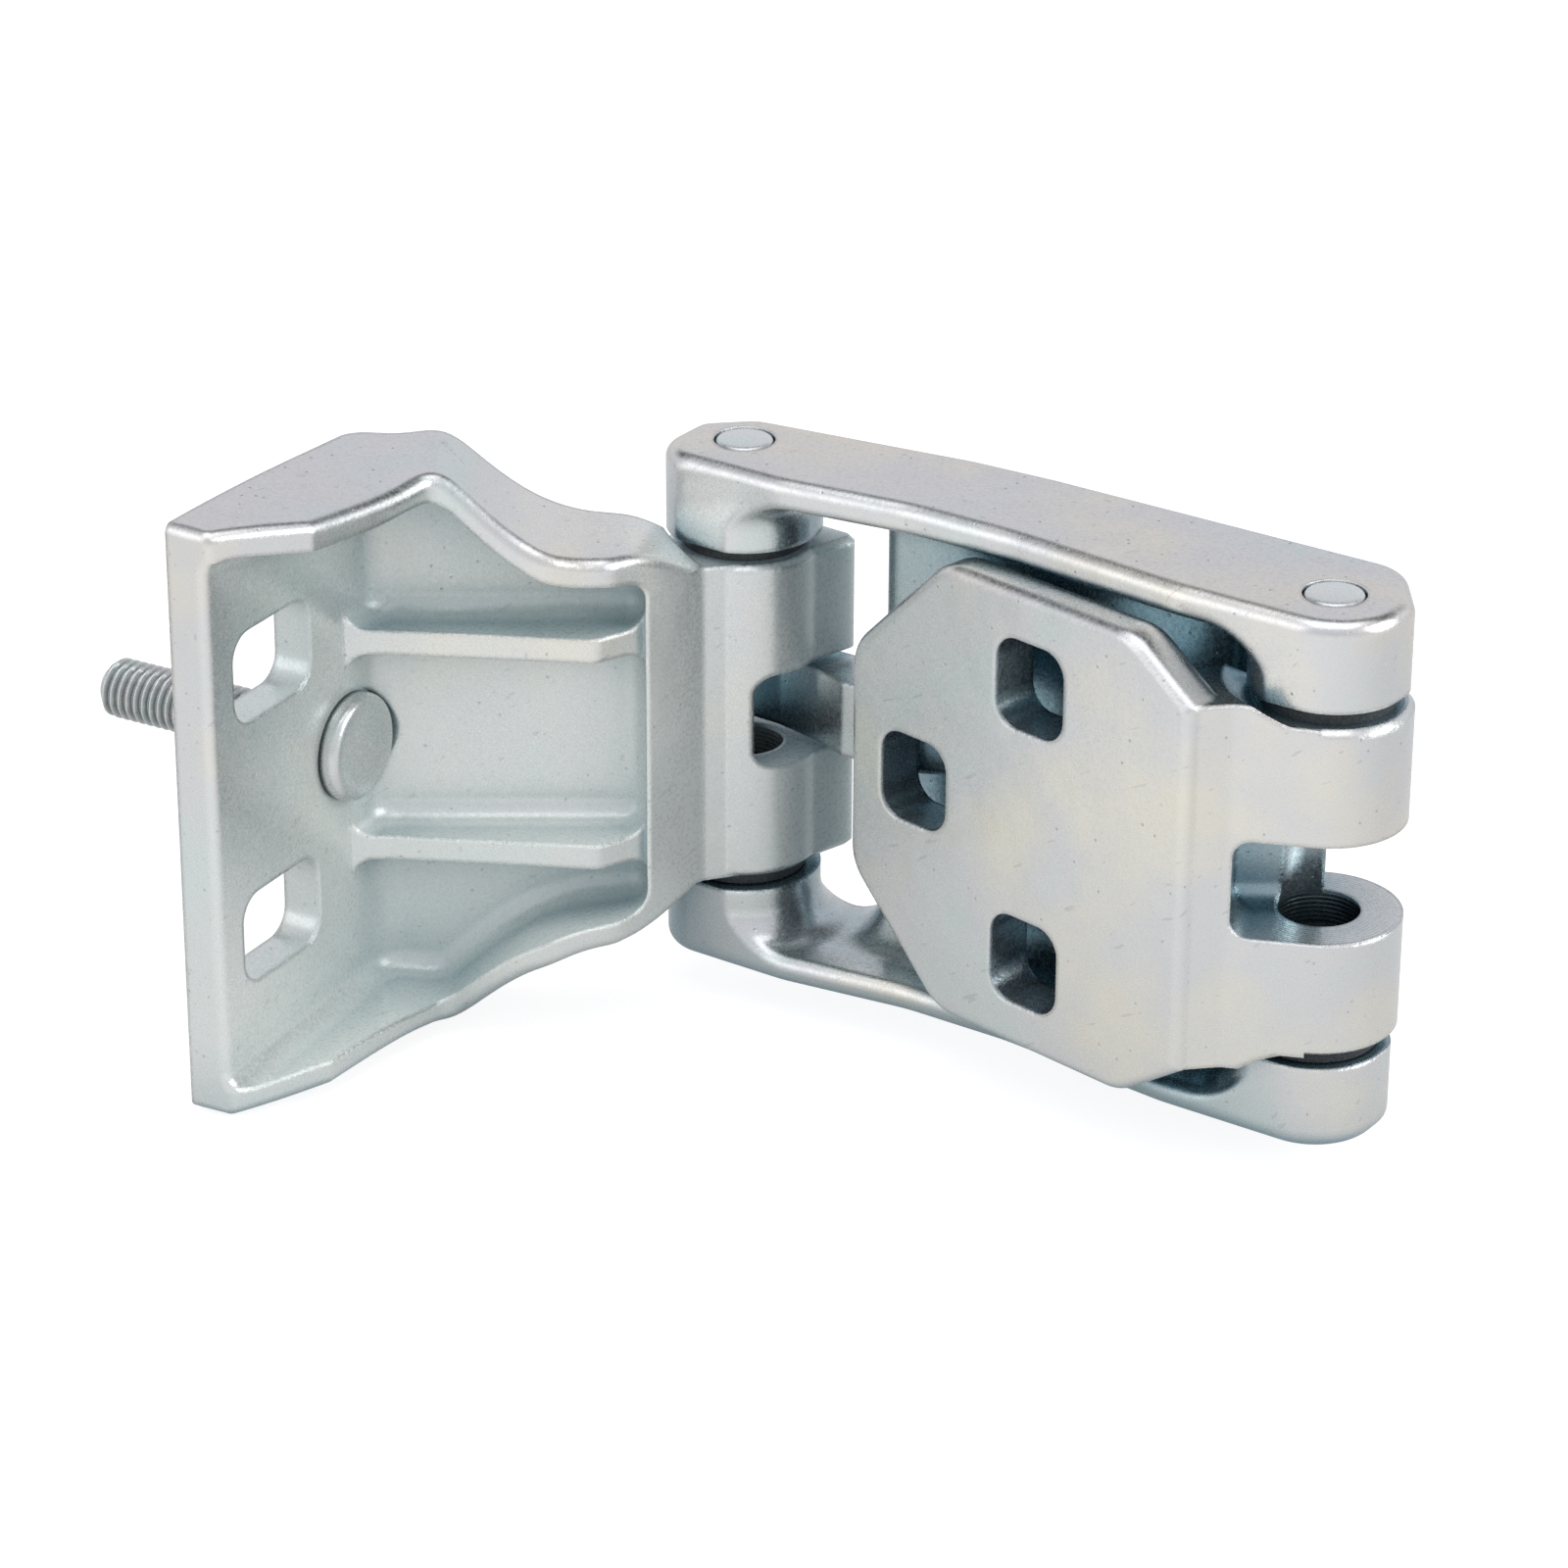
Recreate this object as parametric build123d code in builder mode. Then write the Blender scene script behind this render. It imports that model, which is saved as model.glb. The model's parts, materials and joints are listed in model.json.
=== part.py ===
"""Two-axis rear door hinge: a body bracket, a link arm and a door leaf.

The body bracket bolts to the rear face of the door post with its clinched stud
and two slotted holes. The link arm turns on it at the body axis, and the door
leaf turns on the other end of the link arm at the door axis. The part is drawn
as it stands with the door closed: the leaf lies folded against the link arm.

Axes: the origin is on the seat face of the body bracket, on the stud's centre
line. X runs along the seat face, Y goes into the door post and Z is up along
both hinge axes. Sizes are in millimetres.
"""

import os
from math import acos, atan2, cos, hypot, radians, sin, tan

from build123d import *

os.makedirs("parts", exist_ok=True)

# Body axis and door axis, seen from above
body_axis_x = 39.5
body_axis_y = -41.5
link_length = 87.0  # between the two hinge axes
link_heading = -95.2  # direction from the body axis to the door axis
leaf_heading = 74.5  # direction from the door axis to the leaf's free end

# Mounting stud, M8
stud_r = 4.0
stud_length = 32.0  # beyond the seat face
stud_shoulder_r = 4.6  # inside the base plate
stud_tip_chamfer = 1.6
stud_head_r = 7.2
stud_head_thick = 2.6
stud_head_dish_r = 4.6
stud_head_dish_depth = 0.25
stud_head_chamfer = 0.7
stud_spot_face_r = 7.6

# Base plate of the body bracket
plate_thick = 5.5
plate_left = -30.2
plate_left_edge_r = 1.2
plate_half_height = 39.8  # at the free edge
lip_rise = 9.0  # of the top and bottom lips, out from the plate face
lip_thick = 3.3
lip_start = -18.5  # the lips slope down to the plate left of here
lip_low_rise = 0.8  # height of the lips at the free edge
slot_centre_x = -16.4
slot_centre_z = 18.0
slot_width = 17.0
slot_height = 12.4
slot_corner_r = 3.6

# Wall of the body bracket, which runs from the fold to the body knuckle
wall_angle = 60.0
wall_thick = 7.0
fold_back_x = 10.9  # where the back of the wall meets the seat face
fold_back_r = 5.0
fold_pocket_r = 6.0
side_curve = (  # place along the wall, share of the way up from the knuckle's height to the plate's
    (-9.5, 1.0),
    (1.8, 0.92),
    (7.0, 0.915),
    (11.5, 0.926),
    (15.9, 0.761),
    (24.0, 0.42),
    (30.5, 0.301),
    (35.5, 0.267),
    (40.3, 0.153),
)
side_end_slope = -0.6  # where it meets the knuckle
rib_top_share = 0.73  # of the knuckle's half height
rib_thick = 3.3
rib_crest = ((4.4, 12.6), (31.2, 15.7))  # along the wall, out from its back
rib_end_out = 11.4  # out, where the crest runs down to the end of the pockets
rib_crest_r = 2.5
rib_start_x = -0.5
pocket_end_at = 37.6
pocket_draft = 0.6
pocket_root_share = 0.535  # radius of the rounded roots, of the upper pocket's least height
pocket_end_share = 0.556  # radius at the pockets' right end, seen from above, of the same height
lip_inner_shift = 1.1  # of the lips' inner faces towards the free edge
lip_crest = ((11.2, 15.0), (24.6, 18.9), (33.5, 16.3))  # along the wall, out from its back
lip_crest_r = (3.0, 7.0, 5.0)
crest_edge_r = 1.5

# Knuckles and the slots in their middle
knuckle_half_height = 22.2
slot_half_height = 6.6
slot_end_r = 2.6
body_knuckle_r = 10.0
body_knuckle_flat = (-5.3, 10.7)  # from the body axis: along the wall, out from it
body_knuckle_middle = (-0.3, 9.1)
body_knuckle_corner = (5.1, 7.6)
body_knuckle_ear = (15.2, -0.8)
body_seat_r = 11.2  # turned seat round each flange
body_slot_offset = 6.3  # from the body axis to the end wall of the slot
body_slot_angle = 136.0  # direction of that end wall, seen along the wall
door_knuckle_r = 10.4
knuckle_edge = 0.8  # chamfer at both ends of a knuckle
knuckle_corner_r = 1.5

# Pins and flanged bushes
pin_r = 4.0
pin_length = 23.5
pin_proud = 0.2
bush_wall = 1.1
bush_length = 11.0  # inside the knuckle
flange_r = 8.2
flange_thick = 1.7
running_clearance = 0.05  # radial, pin in bush
thrust_clearance = 0.2  # flange to link boss

# Link arm
boss_height = 7.6  # of each boss, from its arm to its end face
arm_thick = 4.1
boss_r = 10.2
boss_flare_r = 5.0
link_end_a = 8.6  # beyond the body axis
link_end_b = 9.5  # beyond the door axis
link_tip_r = 9.0
link_tip_far = 3.2  # out from the axis line, where the rounded tip ends
link_tip_far_r = 4.7
link_near_side = ((-link_end_a, -9.5), (12.0, -9.5), (30.0, -7.0), (45.0, -7.0))
link_near_last = (-17.0, -9.5)  # along from the door axis
link_near_r = (6.0, 14.0, 25.0, 25.0, 25.0)
link_far_first = (3.0, 12.4)  # along from the door axis
link_far_side = ((40.0, 12.4), (28.0, 11.8), (-3.0, 7.4), (-link_end_a, 2.2))
link_far_r = (7.0, 25.0, 25.0, 5.0, 3.0)
web_front = 4.6  # from the axis line to the front of the web
web_start = 18.0
web_end_gap = 13.5  # from the door axis
web_fillet_r = 6.5
web_corner_r = 3.0
arm_top_edge_r = 1.7
arm_bottom_edge_r = 2.8
arm_inner_edge_r = 1.5
tongue_half_height = 5.2
tongue_front_face = ((-4.0, 4.1), (3.0, 3.9), (10.0, 2.4), (15.0, 0.6), (24.0, 0.4), (32.0, 4.6))
tongue_back = 8.7

# Door leaf
leaf_front = 19.4  # from the door axis to the seat face of the leaf
leaf_thick = 7.0
leaf_near_end = 5.5
leaf_end_gap = 24.4  # from its far end to the body axis, when closed
leaf_side_clearance = 0.4  # to each arm
leaf_chamfer_length = 15.6
leaf_chamfer_half_height = 15.4
leaf_neck_rise = 2.4  # of the neck over each end of the knuckle
leaf_corner_r = 7.0
leaf_front_edge_r = 1.4
leaf_back_edge_r = 2.8
leaf_pair_gap = 30.9  # from the far end
leaf_pair_z = 19.0
leaf_single_gap = 11.4  # from the far end
leaf_hole_width = 11.4
leaf_hole_height = 12.2
leaf_hole_corner_r = 3.4
leaf_slot = ((3.4, 13.0), (9.1, 5.7), (0.9, -2.4))  # side and back of the slot, from the door axis
leaf_slot_side_length = 37.0  # of the drawn side, which runs out past the leaf
leaf_slot_corner_r = 2.4
leaf_neck_corner = (2.9, 14.4)
leaf_neck_rear = ((8.0, -6.6), (11.5, 4.5), (14.0, 12.4))
leaf_shoulder_at = 15.5
leaf_neck_r = 2.5
leaf_seat_r = 10.8  # seat round each flange, which widens by as much as the neck rises

# Values worked out from the sizes above
boss_face_z = knuckle_half_height + flange_thick + thrust_clearance
bush_r = pin_r + running_clearance + bush_wall
arm_inner_z = boss_face_z + boss_height
link_half_height = arm_inner_z + arm_thick
web_end = link_length - web_end_gap
leaf_far_end = link_length - leaf_end_gap
leaf_half_height = arm_inner_z - leaf_side_clearance
leaf_chamfer_at = leaf_far_end - leaf_chamfer_length
leaf_pair_at = leaf_far_end - leaf_pair_gap
leaf_single_at = leaf_far_end - leaf_single_gap
leaf_root_half_height = knuckle_half_height + leaf_neck_rise
neck_turn = atan2(leaf_neck_corner[1], leaf_neck_corner[0])
neck_turn += acos(door_knuckle_r / hypot(*leaf_neck_corner))
heading = radians(link_heading)
door_axis_x = body_axis_x + link_length * cos(heading)
door_axis_y = body_axis_y + link_length * sin(heading)
wall_turn = radians(wall_angle)
ear_turn = atan2(-body_knuckle_ear[1], body_knuckle_ear[0])
ear_turn += acos(body_knuckle_r / hypot(*body_knuckle_ear))
pocket_turn_x = fold_back_x - wall_thick * sin(wall_turn)
pocket_turn_x += (plate_thick - wall_thick * cos(wall_turn)) / tan(wall_turn)


def turned_plane(x, y, angle, z=0.0):
    """A level plane at (x, y, z) with its own x axis turned by angle."""
    turn = radians(angle)
    return Plane(origin=(x, y, z), x_dir=(cos(turn), sin(turn), 0), z_dir=(0, 0, 1))


def on_wall(along, out):
    """Plan point given along the wall from the fold and out from its back."""
    x = fold_back_x + along * cos(wall_turn) - out * sin(wall_turn)
    y = -along * sin(wall_turn) - out * cos(wall_turn)
    return (x, y)


def from_wall(x, y):
    """The inverse of on_wall: plan point to places along and out."""
    dx = x - fold_back_x
    along = dx * cos(wall_turn) - y * sin(wall_turn)
    out = -dx * sin(wall_turn) - y * cos(wall_turn)
    return (along, out)


level = Plane.XY
wall_level = turned_plane(fold_back_x, 0, -wall_angle)
wall_side = Plane(
    origin=(fold_back_x, 0, 0),
    x_dir=(cos(wall_turn), -sin(wall_turn), 0),
    z_dir=(-sin(wall_turn), -cos(wall_turn), 0),
)
axis_along, axis_out = from_wall(body_axis_x, body_axis_y)
far_away = 90.0  # beyond every face, for cuts that run out
margin = 1.0  # for cuts that run a little past a face, and for choosing edges
near = 0.01  # places closer than this are the same
knuckle_start = axis_along + body_knuckle_flat[0]
side_rise = plate_half_height - knuckle_half_height
side_profile = (
    (plate_left + lip_start, plate_half_height),
    *[(at, knuckle_half_height + share * side_rise) for at, share in side_curve],
    (knuckle_start - 0.3 * margin, knuckle_half_height),
)
side_inner = [(at - lip_inner_shift, z - lip_thick) for at, z in side_profile[:-1]]
rib_top_z = rib_top_share * knuckle_half_height
rib_bottom_z = rib_top_z - rib_thick
pocket_root_r = pocket_root_share * (side_inner[-1][1] - rib_top_z)
pocket_end_r = pocket_end_share * (side_inner[-1][1] - rib_top_z)


def by_axis(along, out):
    """Plan point given along the wall and out from it, both from the body axis."""
    return on_wall(axis_along + along, axis_out + out)


def in_wall_level(along, out):
    """The same place in the sketch plane wall_level."""
    return (axis_along + along, -axis_out - out)


# Hull of the body bracket seen from above: base plate, lips and wall
lip_front_y = -plate_thick - lip_rise
with BuildPart() as body_bracket:
    with BuildSketch(level.offset(-far_away)) as hull_plan:
        with BuildLine():
            Polyline(
                (plate_left, 0),
                (fold_back_x, 0),
                on_wall(axis_along - body_knuckle_r, 0),
                on_wall(axis_along, axis_out),
                by_axis(*body_knuckle_flat),
                *[on_wall(*crest) for crest in reversed(lip_crest)],
                (lip_start, lip_front_y + lip_low_rise),
                (plate_left, -plate_thick - lip_low_rise),
                close=True,
            )
        make_face()
        fillet(hull_plan.vertices().sort_by_distance((fold_back_x, 0))[0], fold_back_r)
        for crest, round_r in zip(lip_crest, lip_crest_r):
            fillet(hull_plan.vertices().sort_by_distance(on_wall(*crest))[0], round_r)
    extrude(amount=2 * far_away)
    with BuildSketch(wall_side):
        with BuildLine():
            Spline(*side_profile, tangents=((1, 0), (1, side_end_slope)))
            Polyline(
                side_profile[-1],
                (far_away, knuckle_half_height),
                (far_away, 0),
                (side_profile[0][0], 0),
                side_profile[0],
            )
        make_face()
        mirror(about=Plane.XZ)
    extrude(amount=far_away, both=True, mode=Mode.INTERSECT)

    def is_crest(edge):
        """True for the front edges along the top and bottom lips."""
        spot = edge.center()
        along, out = from_wall(spot.X, spot.Y)
        run = edge.tangent_at(0.5)
        is_level_front = spot.Y < -margin and out > margin and abs(run.Z) < 0.9
        return is_level_front and spot.X > plate_left + margin and along < knuckle_start - margin

    fillet(body_bracket.edges().filter_by(is_crest), crest_edge_r)

    # Pockets between the lips and the two level ribs; their cutters carry the rounded roots
    with BuildSketch(level.offset(-far_away)) as pocket_plan:
        with BuildLine():
            Polyline(
                (-far_away, -plate_thick),
                (pocket_turn_x, -plate_thick),
                on_wall(pocket_end_at, wall_thick),
                on_wall(pocket_end_at + pocket_draft, far_away),
                (-far_away, -far_away),
                close=True,
            )
        make_face()
        fillet(pocket_plan.vertices().sort_by_distance((pocket_turn_x, -plate_thick))[0], fold_pocket_r)
        fillet(pocket_plan.vertices().sort_by_distance(on_wall(pocket_end_at, wall_thick))[0], pocket_end_r)
    pocket_all = extrude(amount=2 * far_away, mode=Mode.PRIVATE)
    with BuildSketch(wall_side):
        with BuildLine():
            Polyline(
                side_inner[-1],
                (far_away, side_inner[-1][1]),
                (far_away, rib_top_z),
                (side_inner[0][0], rib_top_z),
                side_inner[0],
            )
            Spline(*side_inner)
        make_face()
    upper_room = extrude(amount=far_away, both=True, mode=Mode.PRIVATE)
    with BuildSketch(wall_side):
        Rectangle(2 * far_away, 2 * rib_bottom_z)
    middle_room = extrude(amount=far_away, both=True, mode=Mode.PRIVATE)

    def with_roots(cutter):
        """The cutter with rounded edges where its floor meets the lips and the ribs."""
        chosen = []
        for edge in cutter.edges():
            spot = edge.center()
            out = from_wall(spot.X, spot.Y)[1]
            on_floor = spot.Y > -plate_thick - near or out < wall_thick + pocket_end_r + margin / 2
            if on_floor and abs(edge.tangent_at(0.5).Z) < 0.8 and spot.X > -far_away + margin:
                chosen.append(edge)
        return cutter.fillet(pocket_root_r, chosen)

    upper_pocket = with_roots(pocket_all & upper_room)
    add(upper_pocket, mode=Mode.SUBTRACT)
    add(upper_pocket.mirror(Plane.XY), mode=Mode.SUBTRACT)
    add(with_roots(pocket_all & middle_room), mode=Mode.SUBTRACT)

    # The ribs rise from the base plate to their crests
    with BuildSketch(level.offset(-rib_top_z - pocket_root_r)) as rib_plan:
        with BuildLine():
            Polyline(
                (-far_away, -plate_thick),
                (rib_start_x, -plate_thick),
                *[on_wall(*crest) for crest in rib_crest],
                on_wall(pocket_end_at, rib_end_out),
                on_wall(pocket_end_at + pocket_draft, far_away),
                (-far_away, -far_away),
                close=True,
            )
        make_face()
        for crest in rib_crest:
            fillet(rib_plan.vertices().sort_by_distance(on_wall(*crest))[0], rib_crest_r)
    extrude(amount=2 * (rib_top_z + pocket_root_r), mode=Mode.SUBTRACT)

    # Body knuckle: flats in front, an ear on the right and round behind
    with BuildSketch(wall_level.offset(-knuckle_half_height)) as knuckle_plan:
        with Locations(in_wall_level(0, 0)):
            Circle(body_knuckle_r)
        with BuildLine():
            Polyline(
                in_wall_level(-body_knuckle_r, 0),
                in_wall_level(*body_knuckle_flat),
                in_wall_level(*body_knuckle_middle),
                in_wall_level(*body_knuckle_corner),
                in_wall_level(*body_knuckle_ear),
                in_wall_level(body_knuckle_r * cos(ear_turn), -body_knuckle_r * sin(ear_turn)),
                in_wall_level(0, 0),
                close=True,
            )
        make_face()
        for corner in (body_knuckle_corner, body_knuckle_ear):
            spot = in_wall_level(*corner)
            fillet(knuckle_plan.vertices().sort_by_distance(spot)[0], knuckle_corner_r)
    extrude(amount=2 * knuckle_half_height)
    rims = body_bracket.edges().filter_by(GeomType.CIRCLE)
    rims = rims.filter_by(lambda e: abs(abs(e.center().Z) - knuckle_half_height) < near)
    chamfer(rims.filter_by(lambda e: abs(e.radius - body_knuckle_r) < near), knuckle_edge)

    # Turned seats for the flanges, the bore and the slot, open at the front, right and back
    with Locations((body_axis_x, body_axis_y, knuckle_half_height)):
        Cylinder(body_seat_r, far_away, align=(Align.CENTER, Align.CENTER, Align.MIN), mode=Mode.SUBTRACT)
    with Locations((body_axis_x, body_axis_y, -knuckle_half_height)):
        Cylinder(body_seat_r, far_away, align=(Align.CENTER, Align.CENTER, Align.MAX), mode=Mode.SUBTRACT)
    slot_level = turned_plane(body_axis_x, body_axis_y, body_slot_angle - wall_angle)
    with BuildSketch(slot_level.offset(-slot_half_height)):
        with Locations((0, body_slot_offset)):
            Rectangle(far_away, far_away, align=(Align.CENTER, Align.MAX))
    body_slot = extrude(amount=2 * slot_half_height, mode=Mode.PRIVATE)
    end_at = body_slot_offset - margin
    slot_ends = body_slot.edges().filter_by(Plane.XY)
    slot_ends = slot_ends.filter_by(lambda e: slot_level.to_local_coords(e.center()).Y > end_at)
    add(body_slot.fillet(slot_end_r, slot_ends), mode=Mode.SUBTRACT)
    with Locations((body_axis_x, body_axis_y, 0)):
        Cylinder(bush_r, 2 * far_away, mode=Mode.SUBTRACT)

    # Stud hole and the two slotted holes of the base plate
    with BuildSketch(Plane.XZ):
        Circle(stud_shoulder_r)
        for z in (-slot_centre_z, slot_centre_z):
            with Locations((slot_centre_x, z)):
                RectangleRounded(slot_width, slot_height, slot_corner_r)
    extrude(amount=far_away, both=True, mode=Mode.SUBTRACT)
    with BuildSketch(Plane.XZ.offset(plate_thick)):
        Circle(stud_spot_face_r)
    extrude(amount=far_away, mode=Mode.SUBTRACT)
    left_rim = body_bracket.edges().filter_by(lambda e: e.center().X < plate_left + near)
    fillet(left_rim.filter_by(lambda e: e.center().Y < -near), plate_left_edge_r)

# Stud with a dished head, clinched in the base plate; it points into the door post
with BuildPart() as mounting_stud:
    with BuildSketch(Plane.XY):
        head_y = -plate_thick - stud_head_thick
        with BuildLine():
            Polyline(
                (0, head_y + stud_head_dish_depth),
                (stud_head_dish_r, head_y + stud_head_dish_depth),
                (stud_head_dish_r, head_y),
                (stud_head_r - stud_head_chamfer, head_y),
                (stud_head_r, head_y + stud_head_chamfer),
                (stud_head_r, -plate_thick),
                (stud_shoulder_r, -plate_thick),
                (stud_shoulder_r, 0),
                (stud_r, 0),
                (stud_r, stud_length - stud_tip_chamfer),
                (stud_r - stud_tip_chamfer, stud_length),
                (0, stud_length),
                close=True,
            )
        make_face()
    revolve(axis=Axis.Y)

# Link arm: two arms joined by a web on their far side, with a tongue behind the body axis
link_level = turned_plane(body_axis_x, body_axis_y, link_heading)
pin_places = ((0, 0), (link_length, 0))
link_near = (*link_near_side, (link_length + link_near_last[0], link_near_last[1]))
link_far_points = ((link_length + link_far_first[0], link_far_first[1]), *link_far_side)
link_tip_near_corner = (link_length + link_end_b, link_near_last[1])
link_tip_far_corner = (link_length + link_end_b, link_tip_far)
with BuildPart() as link_outline:
    with BuildSketch(link_level.offset(-link_half_height)) as link_plan:
        with BuildLine():
            Polyline(
                *link_near,
                link_tip_near_corner,
                link_tip_far_corner,
                *link_far_points,
                close=True,
            )
        make_face()
        for spot, round_r in zip(link_near, link_near_r):
            fillet(link_plan.vertices().sort_by_distance(spot)[0], round_r)
        for spot, round_r in zip(link_far_points, link_far_r):
            fillet(link_plan.vertices().sort_by_distance(spot)[0], round_r)
        fillet(link_plan.vertices().sort_by_distance(link_tip_near_corner)[0], link_tip_r)
        fillet(link_plan.vertices().sort_by_distance(link_tip_far_corner)[0], link_tip_far_r)
    extrude(amount=2 * link_half_height)
    fillet(link_outline.edges().group_by(Axis.Z)[-1], arm_top_edge_r)
    fillet(link_outline.edges().group_by(Axis.Z)[0], arm_bottom_edge_r)

# Room between the arms, which leaves the web standing
with BuildPart() as link_room:
    with BuildSketch(link_level.offset(-arm_inner_z)) as room_plan:
        with BuildLine():
            Polyline(
                (-far_away, -far_away),
                (-far_away, far_away),
                (web_start, far_away),
                (web_start, web_front),
                (web_end, web_front),
                (web_end, far_away),
                (2 * far_away, far_away),
                (2 * far_away, -far_away),
                close=True,
            )
        make_face()
        for spot in ((web_start, web_front), (web_end, web_front)):
            fillet(room_plan.vertices().sort_by_distance(spot)[0], web_corner_r)
    extrude(amount=2 * arm_inner_z)

    def is_web_rim(edge):
        local = link_level.to_local_coords(edge.center())
        return local.Y > 0 and web_start - margin < local.X < web_end + margin

    fillet(link_room.edges().filter_by(Plane.XY).filter_by(is_web_rim), web_fillet_r)

with BuildPart() as link_arm:
    add(link_outline.part)
    add(link_room.part, mode=Mode.SUBTRACT)
    # Bosses inside each arm, flared into it
    for at, across in pin_places:
        spot = link_level.from_local_coords((at, across, 0))
        with BuildSketch(Plane(origin=spot, x_dir=(1, 0, 0), z_dir=(0, -1, 0))):
            with BuildLine():
                Line((0, boss_face_z), (boss_r, boss_face_z))
                Line((boss_r, boss_face_z), (boss_r, arm_inner_z - boss_flare_r))
                RadiusArc(
                    (boss_r, arm_inner_z - boss_flare_r), (boss_r + boss_flare_r, arm_inner_z), boss_flare_r
                )
                Line((boss_r + boss_flare_r, arm_inner_z), (0, arm_inner_z))
                Line((0, arm_inner_z), (0, boss_face_z))
            make_face()
            mirror(about=Plane.XZ)
        bosses = revolve(axis=Axis((spot.X, spot.Y, 0), (0, 0, 1)), mode=Mode.PRIVATE)
        add(bosses & link_outline.part)

    def is_inner_edge(edge):
        local = link_level.to_local_coords(edge.center())
        is_level = abs(abs(local.Z) - arm_inner_z) < near
        return is_level and local.Y < -web_front and web_start < local.X < web_end

    fillet(link_arm.edges().filter_by(is_inner_edge), arm_inner_edge_r)

    # Tongue in the slot of the body knuckle
    with BuildSketch(link_level.offset(-tongue_half_height)):
        with BuildLine():
            Polyline(
                *tongue_front_face,
                (tongue_front_face[-1][0], tongue_back),
                (tongue_front_face[0][0], tongue_back),
                close=True,
            )
        make_face()
    tongue = extrude(amount=2 * tongue_half_height, mode=Mode.PRIVATE)
    add(tongue & link_outline.part)
    for at, across in pin_places:
        spot = link_level.from_local_coords((at, across, 0))
        with Locations((spot.X, spot.Y, boss_face_z - margin)):
            Cylinder(pin_r, far_away, align=(Align.CENTER, Align.CENTER, Align.MIN), mode=Mode.SUBTRACT)
        with Locations((spot.X, spot.Y, -boss_face_z + margin)):
            Cylinder(pin_r, far_away, align=(Align.CENTER, Align.CENTER, Align.MAX), mode=Mode.SUBTRACT)

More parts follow.
